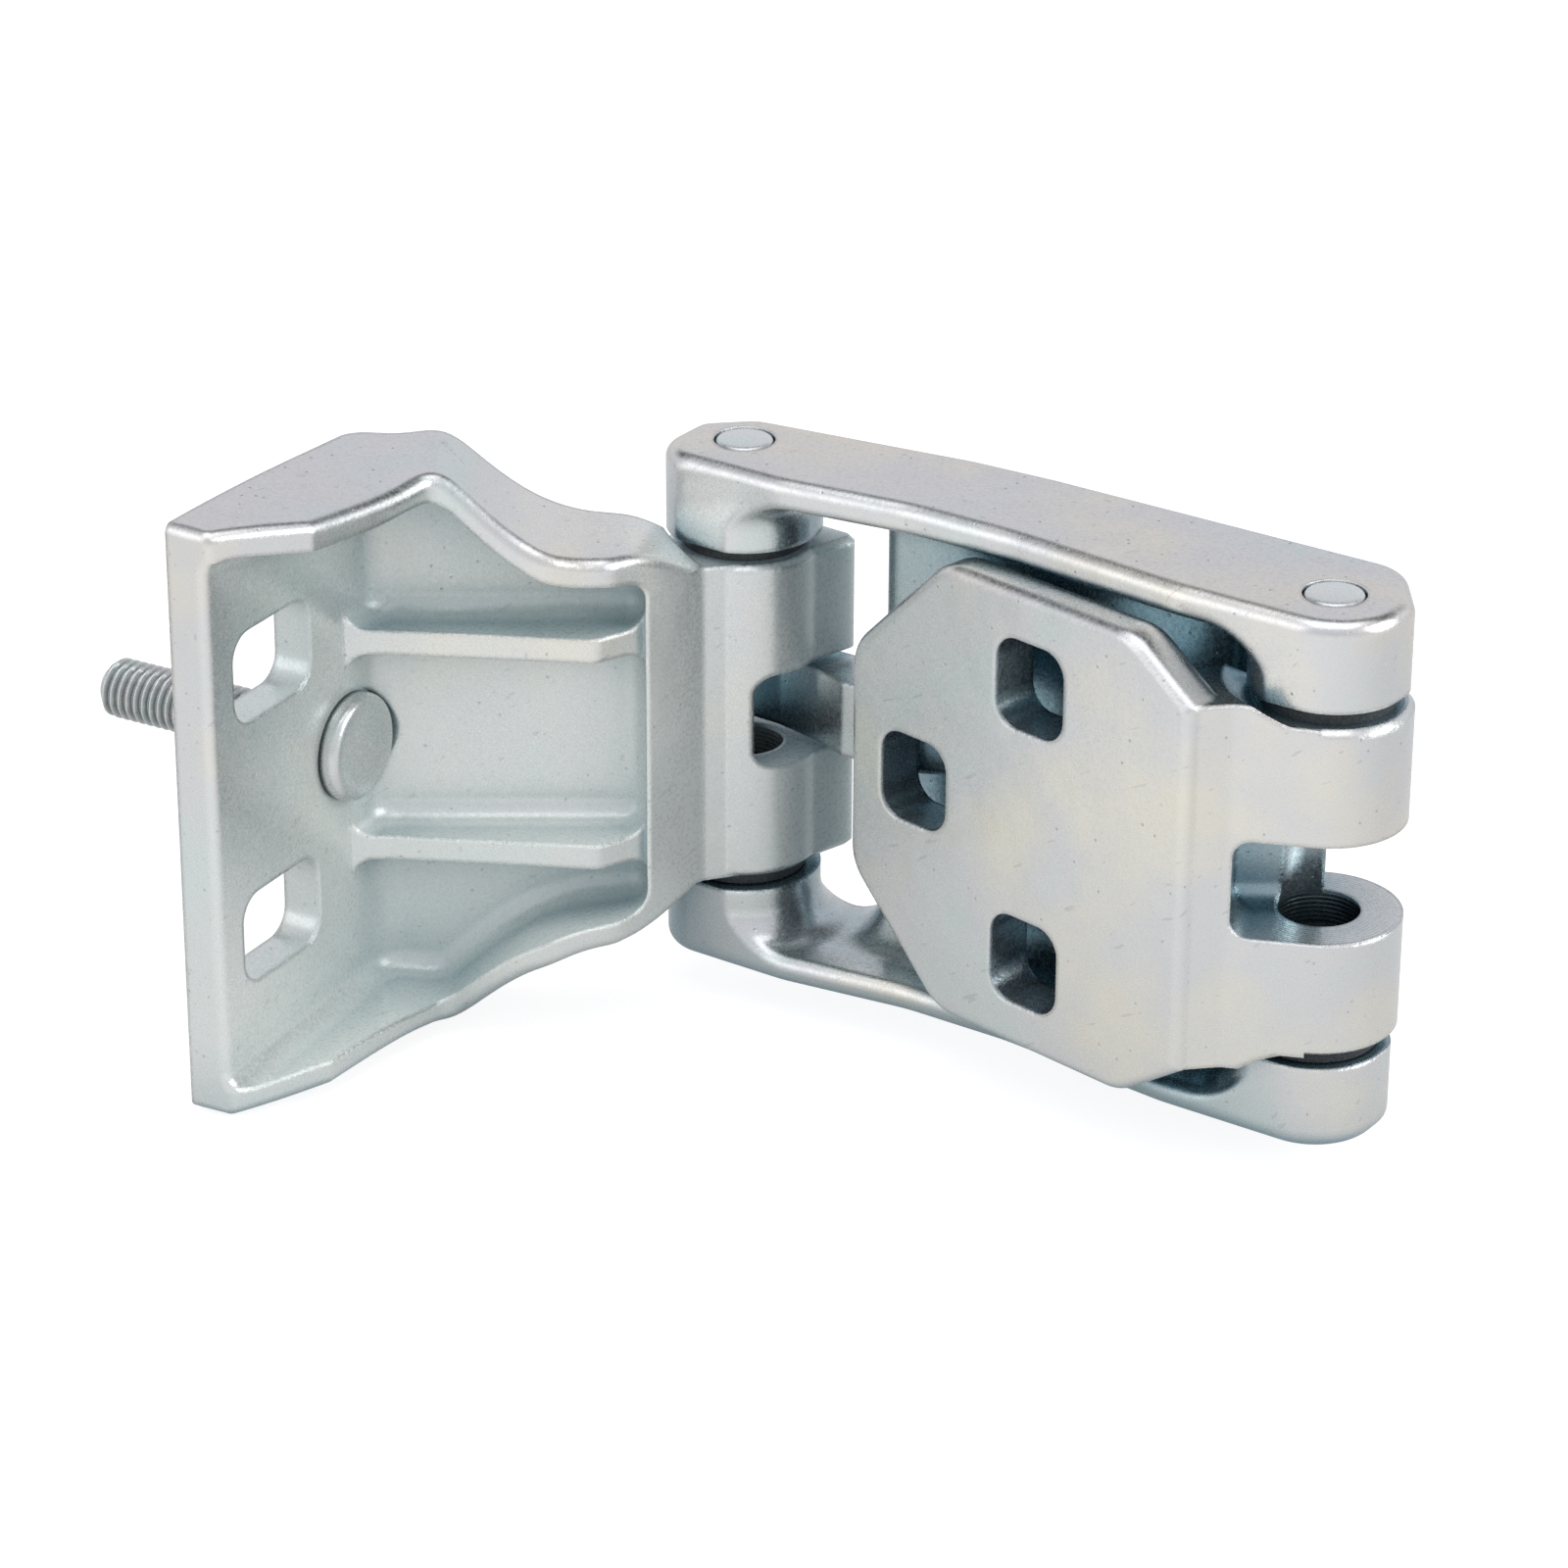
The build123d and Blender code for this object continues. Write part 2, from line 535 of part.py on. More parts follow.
# Door leaf: a flat plate with a neck and a knuckle
leaf_level = turned_plane(door_axis_x, door_axis_y, leaf_heading)
leaf_side = Plane(
    origin=leaf_level.from_local_coords((0, leaf_front, 0)), x_dir=leaf_level.x_dir, z_dir=-leaf_level.y_dir
)
slot_side, slot_corner, slot_end = leaf_slot
slot_side_turn = atan2(slot_side[1] - slot_corner[1], slot_side[0] - slot_corner[0])
slot_side_end = (
    slot_corner[0] + leaf_slot_side_length * cos(slot_side_turn),
    slot_corner[1] + leaf_slot_side_length * sin(slot_side_turn),
)
with BuildPart() as door_leaf:
    with BuildSketch(leaf_side) as leaf_face:
        with BuildLine():
            Polyline(
                (leaf_near_end, 0),
                (leaf_near_end, leaf_root_half_height),
                (leaf_shoulder_at, leaf_half_height),
                (leaf_chamfer_at, leaf_half_height),
                (leaf_far_end, leaf_chamfer_half_height),
                (leaf_far_end, 0),
                close=True,
            )
        make_face()
        corners = leaf_face.vertices().filter_by(lambda v: v.Y > leaf_chamfer_half_height - margin)
        fillet(corners.filter_by(lambda v: v.X > leaf_near_end + margin), leaf_corner_r)
        mirror(about=Plane.XZ)
    extrude(amount=leaf_thick)
    for face_at, edge_r in ((leaf_front, leaf_front_edge_r), (leaf_front - leaf_thick, leaf_back_edge_r)):
        rim = door_leaf.edges()
        rim = rim.filter_by(lambda e: abs(leaf_level.to_local_coords(e.center()).Y - face_at) < near)
        fillet(rim, edge_r)
    with BuildSketch(leaf_level.offset(-leaf_root_half_height)) as neck_plan:
        with BuildLine():
            Polyline(
                (0, 0),
                *leaf_neck_rear,
                (leaf_neck_rear[-1][0] + leaf_back_edge_r, leaf_front - leaf_thick / 2),
                (leaf_near_end + leaf_front_edge_r, leaf_front - leaf_front_edge_r),
                (leaf_near_end, leaf_front - leaf_front_edge_r),
                leaf_neck_corner,
                (door_knuckle_r * cos(neck_turn), door_knuckle_r * sin(neck_turn)),
                close=True,
            )
        make_face()
        for spot in (leaf_neck_rear[1], leaf_neck_corner):
            fillet(neck_plan.vertices().sort_by_distance(spot)[0], leaf_neck_r)
    extrude(amount=2 * leaf_root_half_height)
    with Locations((door_axis_x, door_axis_y, 0)):
        Cylinder(door_knuckle_r, 2 * knuckle_half_height)
    rims = door_leaf.edges().filter_by(GeomType.CIRCLE)
    rims = rims.filter_by(lambda e: abs(abs(e.center().Z) - knuckle_half_height) < near)
    chamfer(rims.filter_by(lambda e: abs(e.radius - door_knuckle_r) < near), knuckle_edge)
    with BuildSketch(leaf_level.offset(-slot_half_height)):
        with BuildLine():
            Polyline(
                slot_side_end,
                slot_corner,
                slot_end,
                (slot_end[0] + far_away, slot_end[1] - far_away),
                (-far_away, -far_away),
                (-far_away, slot_side_end[1]),
                close=True,
            )
        make_face()
    leaf_slot_room = extrude(amount=2 * slot_half_height, mode=Mode.PRIVATE)

    def is_slot_root(edge):
        local = leaf_level.to_local_coords(edge.center())
        return hypot(local.X, local.Y) < leaf_slot_side_length

    slot_roots = leaf_slot_room.edges().filter_by(Plane.XY).filter_by(is_slot_root)
    add(leaf_slot_room.fillet(leaf_slot_corner_r, slot_roots), mode=Mode.SUBTRACT)
    with Locations((door_axis_x, door_axis_y, 0)):
        Cylinder(bush_r, 2 * far_away, mode=Mode.SUBTRACT)
    seat_z = knuckle_half_height + leaf_neck_rise / 2
    with Locations((door_axis_x, door_axis_y, seat_z)):
        Cone(leaf_seat_r, leaf_seat_r + leaf_neck_rise, leaf_neck_rise, mode=Mode.SUBTRACT)
    with Locations((door_axis_x, door_axis_y, -seat_z)):
        Cone(leaf_seat_r + leaf_neck_rise, leaf_seat_r, leaf_neck_rise, mode=Mode.SUBTRACT)
    with BuildSketch(leaf_side):
        with Locations((leaf_pair_at, -leaf_pair_z), (leaf_pair_at, leaf_pair_z), (leaf_single_at, 0)):
            RectangleRounded(leaf_hole_width, leaf_hole_height, leaf_hole_corner_r)
    extrude(amount=far_away, both=True, mode=Mode.SUBTRACT)


def make_pin(x, y, side):
    """Riveted pin of one arm: side is 1 for the upper arm and -1 for the lower."""
    with BuildPart() as pin:
        with Locations((x, y, side * (link_half_height + pin_proud - pin_length / 2))):
            Cylinder(pin_r, pin_length)
    return pin.part


def make_bush(x, y, side):
    """Flanged bush in one end of a knuckle; the pin runs in it."""
    with BuildPart() as bush:
        with Locations((x, y, side * (knuckle_half_height - bush_length / 2))):
            Cylinder(bush_r, bush_length)
        with Locations((x, y, side * (knuckle_half_height + flange_thick / 2))):
            Cylinder(flange_r, flange_thick)
        with Locations((x, y, 0)):
            Cylinder(pin_r + running_clearance, 2 * far_away, mode=Mode.SUBTRACT)
    return bush.part


pieces = {
    "body_bracket": body_bracket.part,
    "mounting_stud": mounting_stud.part,
    "link_arm": link_arm.part,
    "door_leaf": door_leaf.part,
}
for end_name, end_x, end_y in (("body", body_axis_x, body_axis_y), ("door", door_axis_x, door_axis_y)):
    for level_name, side in (("upper", 1), ("lower", -1)):
        pieces[f"{level_name}_{end_name}_pin"] = make_pin(end_x, end_y, side)
        pieces[f"{level_name}_{end_name}_bush"] = make_bush(end_x, end_y, side)
for name, piece in pieces.items():
    piece.label = name
    export_step(piece, f"parts/{name}.step")
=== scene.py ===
"""Looks of a zinc-plated rear door hinge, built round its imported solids."""

import json
from math import cos, floor, pi, radians, sin

import bmesh
import bpy
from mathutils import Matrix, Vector


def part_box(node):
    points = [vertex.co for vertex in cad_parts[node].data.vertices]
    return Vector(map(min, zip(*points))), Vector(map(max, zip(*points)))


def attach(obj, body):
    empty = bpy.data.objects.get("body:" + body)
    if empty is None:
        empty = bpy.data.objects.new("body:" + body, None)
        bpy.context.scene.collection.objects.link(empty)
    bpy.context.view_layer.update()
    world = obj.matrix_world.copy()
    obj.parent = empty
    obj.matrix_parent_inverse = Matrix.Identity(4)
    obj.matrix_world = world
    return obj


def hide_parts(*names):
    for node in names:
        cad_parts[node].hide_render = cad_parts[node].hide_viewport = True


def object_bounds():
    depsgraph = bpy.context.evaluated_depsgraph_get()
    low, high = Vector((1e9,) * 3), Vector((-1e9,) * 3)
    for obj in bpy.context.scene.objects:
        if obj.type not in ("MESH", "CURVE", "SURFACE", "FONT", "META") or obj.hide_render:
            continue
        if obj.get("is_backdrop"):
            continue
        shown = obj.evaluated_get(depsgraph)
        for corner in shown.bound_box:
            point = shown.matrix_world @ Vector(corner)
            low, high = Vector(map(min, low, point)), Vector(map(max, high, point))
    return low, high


bl_info = {
    "name": "Rear door hinge",
    "version": (1, 0, 0),
    "blender": (4, 5, 0),
    "location": "3D View > Sidebar > Hinge",
    "description": "Finishes, stud thread and studio of a zinc-plated rear door hinge",
    "category": "Object",
}

MM = 0.001

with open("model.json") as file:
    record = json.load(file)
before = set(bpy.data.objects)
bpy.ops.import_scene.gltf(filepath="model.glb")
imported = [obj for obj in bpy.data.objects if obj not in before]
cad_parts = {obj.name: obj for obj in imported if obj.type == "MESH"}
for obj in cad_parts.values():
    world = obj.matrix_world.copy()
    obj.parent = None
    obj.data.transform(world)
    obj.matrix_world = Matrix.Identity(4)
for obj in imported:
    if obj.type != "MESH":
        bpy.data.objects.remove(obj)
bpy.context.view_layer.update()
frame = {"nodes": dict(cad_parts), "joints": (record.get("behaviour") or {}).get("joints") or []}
stud_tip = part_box("mounting_stud")[1].y
axes = {joint["name"]: joint["pos_m"] for joint in frame["joints"]}


def linear(code):
    """Colour of an sRGB hex code, as linear light with alpha."""
    light = []
    for at in (1, 3, 5):
        part = int(code[at:at + 2], 16) / 255
        light.append(part / 12.92 if part <= 0.04045 else ((part + 0.055) / 1.055) ** 2.4)
    return light + [1.0]


def colour(name, description, code):
    """A colour property whose default is an sRGB hex code."""
    return bpy.props.FloatVectorProperty(
        name=name, description=description, subtype="COLOR", size=4, min=0.0, max=1.0,
        default=linear(code),
    )


def length(name, description, millimetres):
    """A length property whose default is given in millimetres."""
    return bpy.props.FloatProperty(
        name=name, description=description, subtype="DISTANCE", unit="LENGTH", min=0.0,
        default=millimetres * MM,
    )


class HINGE_PG_plating(bpy.types.PropertyGroup):
    """Bright zinc plating on the forged pieces"""

    silver: colour("Silver", "Plating on the broad faces", "#D3D4D4")
    cream: colour("Cream", "Warm cast of the passivation in patches", "#DDDACF")
    blue: colour("Blue", "Cool cast of the passivation in patches", "#CDD6D4")
    # A pale green passivation tint on sheltered faces that is also painted light, lifting their shade
    film_and_painted_lift: colour("Film", "Thicker passivation on sheltered faces", "#ECF4EE")
    # A blue-green passivation tint in recesses that is also painted shade
    teal_and_painted_shade: colour("Teal", "Cast of the passivation in recesses", "#5F8B9A")
    patch: length("Patch", "Width of a patch of one cast", 22)
    grain: length("Grain", "Width of a grain of the blasted skin", 0.55)
    wave: length("Wave", "Width of a swell left by the forging die", 7)
    edge: length("Edge", "How far a worn edge is rounded", 1.0)
    satin: bpy.props.FloatProperty(
        name="Satin", description="Roughness of the broad faces", subtype="FACTOR", min=0.0, max=1.0,
        default=0.24,
    )


class HINGE_PG_stud(bpy.types.PropertyGroup):
    """Thread and head of the mounting stud"""

    pitch: length("Pitch", "Rise of the thread in one turn", 1.25)
    depth: length("Depth", "Depth of the thread", 0.68)
    major: length("Major radius", "Radius over the thread", 4.0)
    shoulder: length("Shoulder radius", "Radius inside the base plate", 4.6)
    head: length("Head radius", "Radius of the head", 7.2)
    plate: length("Plate", "Thickness of the base plate", 5.5)
    head_height: length("Head height", "Height of the head over the plate", 2.6)
    rim: length("Head rim", "Radius of the rounded rim of the head", 1.3)
    dish: length("Dish radius", "Radius of the dish in the head", 4.8)
    dish_depth: length("Dish depth", "Depth of the dish in the head", 0.3)


class HINGE_PG_pin(bpy.types.PropertyGroup):
    """Riveted ends of the four pins"""

    rim: length("Rim", "Width of the groove round each riveted end", 0.45)
    groove: length("Groove", "Depth of the groove", 0.8)
    dome: length("Dome", "How far the edge of the end lies below its middle", 0.12)


class HINGE_PG_studio(bpy.types.PropertyGroup):
    """Floor, lamps and camera"""

    paper: colour("Paper", "Paper that the floor is made of", "#9A9A9A")
    key_watts: bpy.props.FloatProperty(
        name="Key", description="Power of the overhead lamp", unit="POWER", min=0.0, default=2.4
    )
    fill_watts: bpy.props.FloatProperty(
        name="Fill", description="Power of the lamp on the left", unit="POWER", min=0.0, default=1.0
    )
    side_watts: bpy.props.FloatProperty(
        name="Side", description="Power of the lamp on the right", unit="POWER", min=0.0, default=5.0
    )


def add_node(tree, kind, settings=None, sockets=None):
    """Adds a node with its settings and gives back its outputs.

    Each socket takes a constant, or a link from the output of another node.
    """
    node = tree.nodes.new(kind)
    for name, value in (settings or {}).items():
        setattr(node, name, value)
    for key, value in (sockets or {}).items():
        if isinstance(value, bpy.types.NodeSocket):
            tree.links.new(value, node.inputs[key])
        else:
            node.inputs[key].default_value = value
    return node.outputs


def new_material(name):
    """An empty node material and its tree."""
    material = bpy.data.materials.new(name)
    material.use_nodes = True
    material.node_tree.nodes.clear()
    return material, material.node_tree


def finish_material(tree, relief, shine):
    """Ends a material. Relief holds the sockets of its bump, in millimetres, and shine its shader's."""
    bump = add_node(tree, "ShaderNodeBump", {}, {"Strength": 1.0, "Distance": MM, **relief})["Normal"]
    shader = add_node(tree, "ShaderNodeBsdfPrincipled", {}, {"Normal": bump, **shine})["BSDF"]
    add_node(tree, "ShaderNodeOutputMaterial", {}, {"Surface": shader})


def turned_marks(tree, place, axis):
    """Height of the tool marks round an axis, in millimetres, and the mask of its bore.

    The bore has rings 0.6 mm apart, coarser than real ones, so that they show. The
    faced rings round its mouth are finer and lower.
    """
    ring_width, ring_height = 0.6 * MM, 0.035
    faced_width, faced_height = 0.5 * MM, 0.006

    sockets = {0: place, 1: (axis[0], axis[1], 0)}
    apart = add_node(tree, "ShaderNodeVectorMath", {"operation": "SUBTRACT"}, sockets)["Vector"]
    parts = add_node(tree, "ShaderNodeSeparateXYZ", {}, {"Vector": apart})
    flat = add_node(tree, "ShaderNodeCombineXYZ", {}, {"X": parts["X"], "Y": parts["Y"]})["Vector"]
    radius = add_node(tree, "ShaderNodeVectorMath", {"operation": "LENGTH"}, {0: flat})["Value"]
    normal = add_node(tree, "ShaderNodeNewGeometry")["Normal"]
    lean = add_node(tree, "ShaderNodeSeparateXYZ", {}, {"Vector": normal})["Z"]
    height = add_node(tree, "ShaderNodeMath", {"operation": "ABSOLUTE"}, {0: parts["Z"]})["Value"]
    level = add_node(tree, "ShaderNodeMath", {"operation": "ABSOLUTE"}, {0: lean})["Value"]

    # Each mask: its source, where it starts and where it is full. The slot lets
    # light in, so the bore is dark only above and below it.
    limits = {
        "in_bore": (radius, 5.35 * MM, 5.25 * MM),
        "past_slot": (height, 6.4 * MM, 7.4 * MM),
        "level": (level, 0.9, 0.98),
        "near_mouth": (radius, 11 * MM, 9.5 * MM),
    }
    masks = {}
    for mask, (source, start, full) in limits.items():
        sockets = {"Value": source, "From Min": start, "From Max": full}
        masks[mask] = add_node(tree, "ShaderNodeMapRange", {}, sockets)["Result"]
    product = {"operation": "MULTIPLY"}
    sockets = {0: masks["in_bore"], 1: masks["past_slot"]}
    bore = add_node(tree, "ShaderNodeMath", product, sockets)["Value"]
    sockets = {0: masks["level"], 1: masks["near_mouth"]}
    mouth = add_node(tree, "ShaderNodeMath", product, sockets)["Value"]

    # Rings along the bore and round its mouth
    marks = 0.0
    for way, width, tall, mask in (
        (parts["Z"], ring_width, ring_height, bore),
        (radius, faced_width, faced_height, mouth),
    ):
        turn = add_node(tree, "ShaderNodeMath", product, {0: way, 1: 2 * pi / width})["Value"]
        wave = add_node(tree, "ShaderNodeMath", {"operation": "SINE"}, {0: turn})["Value"]
        rings = add_node(tree, "ShaderNodeMath", product, {0: wave, 1: tall})["Value"]
        sockets = {0: rings, 1: mask, 2: marks}
        marks = add_node(tree, "ShaderNodeMath", {"operation": "MULTIPLY_ADD"}, sockets)["Value"]
    return marks, bore


def zinc_plated_forging(name, plating, turn, matt, axis=None):
    """Drop-forged steel, blasted, zinc plated and clear passivated.

    Broad faces give soft satin reflections with faint cream and blue patches. The
    skin is pebbled, with a grain drawn coarser than the real one so that it shows,
    and rounded edges glitter where tumbling has rubbed them. Where an axis is given,
    the bore round it is turned and dark inside. Sheltered faces are matt by the share
    matt, because tumbling hardly reaches them, and by that share take a pale green
    passivation tint that is also painted light. Recesses take a blue-green
    passivation tint that is also painted shade.
    """
    pit_apart = 2.6 * MM
    scratch_width, scratch_stretch = 0.9 * MM, 0.05
    wide_reach, close_reach = 70 * MM, 24 * MM

    # The turn gives each piece its own part of the patterns
    material, tree = new_material(name)
    place = add_node(tree, "ShaderNodeTexCoord")["Object"]
    turns = (radians(turn), radians(1.7 * turn), radians(2.3 * turn))
    turned = add_node(tree, "ShaderNodeMapping", {}, {"Vector": place, "Rotation": turns})["Vector"]
    sockets = {"Vector": turned, "Scale": (scratch_stretch, 1.0, 1.0)}
    stretched = add_node(tree, "ShaderNodeMapping", {}, sockets)["Vector"]

    # Patches of colour, blasted skin, swells of the die and fine scratches, each
    # with the width of its clouds, their detail and their roughness
    clouds = []
    for vector, width, detail, roughness in (
        (turned, plating.patch, 3.0, 0.55),
        (turned, plating.grain, 3.0, 0.6),
        (turned, plating.wave, 1.5, 0.5),
        (stretched, scratch_width, 1.0, 0.5),
    ):
        sockets = {"Vector": vector, "Scale": 1 / width, "Detail": detail, "Roughness": roughness}
        clouds.append(add_node(tree, "ShaderNodeTexNoise", {}, sockets)["Fac"])
    patches, grain, swell, streaks = clouds
    sockets = {"Vector": turned, "Scale": 1 / pit_apart}
    cells = add_node(tree, "ShaderNodeTexVoronoi", {}, sockets)["Distance"]

    # How open a place is, in the whole hinge and close by
    views = []
    for reach in (wide_reach, close_reach):
        sockets = {"Distance": reach}
        views.append(add_node(tree, "ShaderNodeAmbientOcclusion", {"samples": 4}, sockets)["AO"])
    openness, hollow = views

    # A rounded normal leaves the true one at an edge
    rounded = add_node(tree, "ShaderNodeBevel", {"samples": 4}, {"Radius": plating.edge})["Normal"]
    true_normal = add_node(tree, "ShaderNodeNewGeometry")["Normal"]
    sockets = {0: rounded, 1: true_normal}
    agreement = add_node(tree, "ShaderNodeVectorMath", {"operation": "DOT_PRODUCT"}, sockets)["Value"]

    # Each mask: its source, where it starts, where it is full and how strong it gets.
    # Sheltered faces take a pale passivation tint that is also painted light, and
    # recesses a blue-green passivation tint that is also painted shade.
    limits = {
        "cream": (patches, 0.5, 0.68, 1.0),
        "blue": (patches, 0.47, 0.34, 1.0),
        "shelter": (openness, 0.84, 0.58, matt),
        "film_and_painted_lift": (openness, 0.84, 0.58, 0.8 * matt),
        "recess_and_painted_shade": (hollow, 0.62, 0.32, 1 - 0.35 * matt),
        "edge": (agreement, 0.995, 0.9, 1.0),
        "pits": (cells, 0.09, 0.05, 1.0),
        "scratches": (streaks, 0.71, 0.75, 1.0),
        "pit_shade": (cells, 0.09, 0.05, 0.45),
        "scratch_shade": (streaks, 0.71, 0.75, 0.225),
    }
    masks = {}
    for mask, (source, start, full, most) in limits.items():
        sockets = {"Value": source, "From Min": start, "From Max": full, "To Max": most}
        masks[mask] = add_node(tree, "ShaderNodeMapRange", {}, sockets)["Result"]
    sockets = {0: masks["pit_shade"], 1: masks["scratch_shade"]}
    shade = add_node(tree, "ShaderNodeMath", {"operation": "MAXIMUM"}, sockets)["Value"]

    # Heights in millimetres; the grain is higher on a rubbed edge, which makes it glitter
    product = {"operation": "MULTIPLY"}
    sockets = {"Value": masks["edge"], "To Min": 0.016, "To Max": 0.13}
    grain_height = add_node(tree, "ShaderNodeMapRange", {}, sockets)["Result"]
    height = add_node(tree, "ShaderNodeMath", product, {0: grain, 1: grain_height})["Value"]
    layers = [(swell, 0.11), (masks["pits"], -0.03), (masks["scratches"], -0.006)]
    tints = [
        (masks["cream"], plating.cream),
        (masks["blue"], plating.blue),
        # Painted light on sheltered faces, with a pale passivation tint
        (masks["film_and_painted_lift"], plating.film_and_painted_lift),
        # Painted shade in recesses, with a blue-green passivation tint
        (masks["recess_and_painted_shade"], plating.teal_and_painted_shade),
    ]
    if axis:
        marks, bore = turned_marks(tree, place, axis)
        layers.append((marks, 1.0))
        bore_shade = add_node(tree, "ShaderNodeMath", product, {0: bore, 1: 0.8})["Value"]
        tints.append((bore_shade, linear("#3C4244")))
    tints.append((shade, linear("#8C9291")))

    for layer, tall in layers:
        sockets = {0: layer, 1: tall, 2: height}
        height = add_node(tree, "ShaderNodeMath", {"operation": "MULTIPLY_ADD"}, sockets)["Value"]
    cast = plating.silver
    for share, tint in tints:
        cast = add_node(tree, "ShaderNodeMix", {"data_type": "RGBA"}, {0: share, 6: cast, 7: tint})[2]

    # Matt on sheltered faces, where the passivation is thickest, smooth and bare where an edge is
    # rubbed
    sockets = {
        "Value": grain, "From Min": 0.35, "From Max": 0.65,
        "To Min": plating.satin - 0.05, "To Max": plating.satin + 0.07,
    }
    gloss = add_node(tree, "ShaderNodeMapRange", {}, sockets)["Result"]
    for share, change in ((masks["shelter"], 0.05), (masks["edge"], -0.1)):
        sockets = {0: share, 1: change, 2: gloss}
        gloss = add_node(tree, "ShaderNodeMath", {"operation": "MULTIPLY_ADD"}, sockets)["Value"]
    sockets = {0: masks["shelter"], 1: masks["edge"]}
    covered = add_node(tree, "ShaderNodeMath", {"operation": "SUBTRACT"}, sockets)["Value"]
    sockets = {"Value": covered, "To Min": 1.0, "To Max": 0.2}
    bare = add_node(tree, "ShaderNodeMapRange", {}, sockets)["Result"]
    relief = {"Height": height, "Normal": rounded}
    finish_material(tree, relief, {"Base Color": cast, "Metallic": bare, "Roughness": gloss})
    return material


def zinc_plated_rolled_steel(name, plating):
    """Rolled thread and headed stud in plated steel: brighter and smoother than the forgings."""
    patch_width, grain_width, grain_height = 6 * MM, 0.4 * MM, 0.02
    groove_reach = 1 * MM
    material, tree = new_material(name)
    place = add_node(tree, "ShaderNodeTexCoord")["Object"]
    clouds = []
    for width in (patch_width, grain_width):
        sockets = {"Vector": place, "Scale": 1 / width, "Detail": 2.0}
        clouds.append(add_node(tree, "ShaderNodeTexNoise", {}, sockets)["Fac"])
    patches, grain = clouds
    sockets = {"Distance": groove_reach}
    hollow = add_node(tree, "ShaderNodeAmbientOcclusion", {"samples": 6}, sockets)["AO"]

    # Faint blue patches, and painted shade: a dark tint in the thread grooves and other narrow creases
    cast = plating.silver
    for source, start, full, tint in (
        (patches, 0.4, 0.62, plating.blue),
        (hollow, 0.9, 0.4, linear("#454B4D")),
    ):
        sockets = {"Value": source, "From Min": start, "From Max": full}
        share = add_node(tree, "ShaderNodeMapRange", {}, sockets)["Result"]
        cast = add_node(tree, "ShaderNodeMix", {"data_type": "RGBA"}, {0: share, 6: cast, 7: tint})[2]

    sockets = {0: grain, 1: grain_height}
    height = add_node(tree, "ShaderNodeMath", {"operation": "MULTIPLY"}, sockets)["Value"]
    sockets = {"Value": grain, "From Min": 0.3, "From Max": 0.7, "To Min": 0.22, "To Max": 0.36}
    gloss = add_node(tree, "ShaderNodeMapRange", {}, sockets)["Result"]
    finish_material(tree, {"Height": height}, {"Base Color": cast, "Metallic": 0.7, "Roughness": gloss})
    return material


def lined_bearing_bronze(name):
    """Sintered bush with a dark sliding lining: nearly black, faintly grainy and dull."""
    grain_width, grain_height = 0.35 * MM, 0.03
    material, tree = new_material(name)
    place = add_node(tree, "ShaderNodeTexCoord")["Object"]
    sockets = {"Vector": place, "Scale": 1 / grain_width, "Detail": 3.0}
    grain = add_node(tree, "ShaderNodeTexNoise", {}, sockets)["Fac"]

    sockets = {"Value": grain, "From Min": 0.35, "From Max": 0.7}
    share = add_node(tree, "ShaderNodeMapRange", {}, sockets)["Result"]
    sockets = {0: share, 6: linear("#26292A"), 7: linear("#4A4E4E")}
    cast = add_node(tree, "ShaderNodeMix", {"data_type": "RGBA"}, sockets)[2]

    sockets = {0: grain, 1: grain_height}
    height = add_node(tree, "ShaderNodeMath", {"operation": "MULTIPLY"}, sockets)["Value"]
    sockets = {"Value": grain, "From Min": 0.3, "From Max": 0.7, "To Min": 0.45, "To Max": 0.65}
    gloss = add_node(tree, "ShaderNodeMapRange", {}, sockets)["Result"]
    finish_material(tree, {"Height": height}, {"Base Color": cast, "Metallic": 0.0, "Roughness": gloss})
    return material


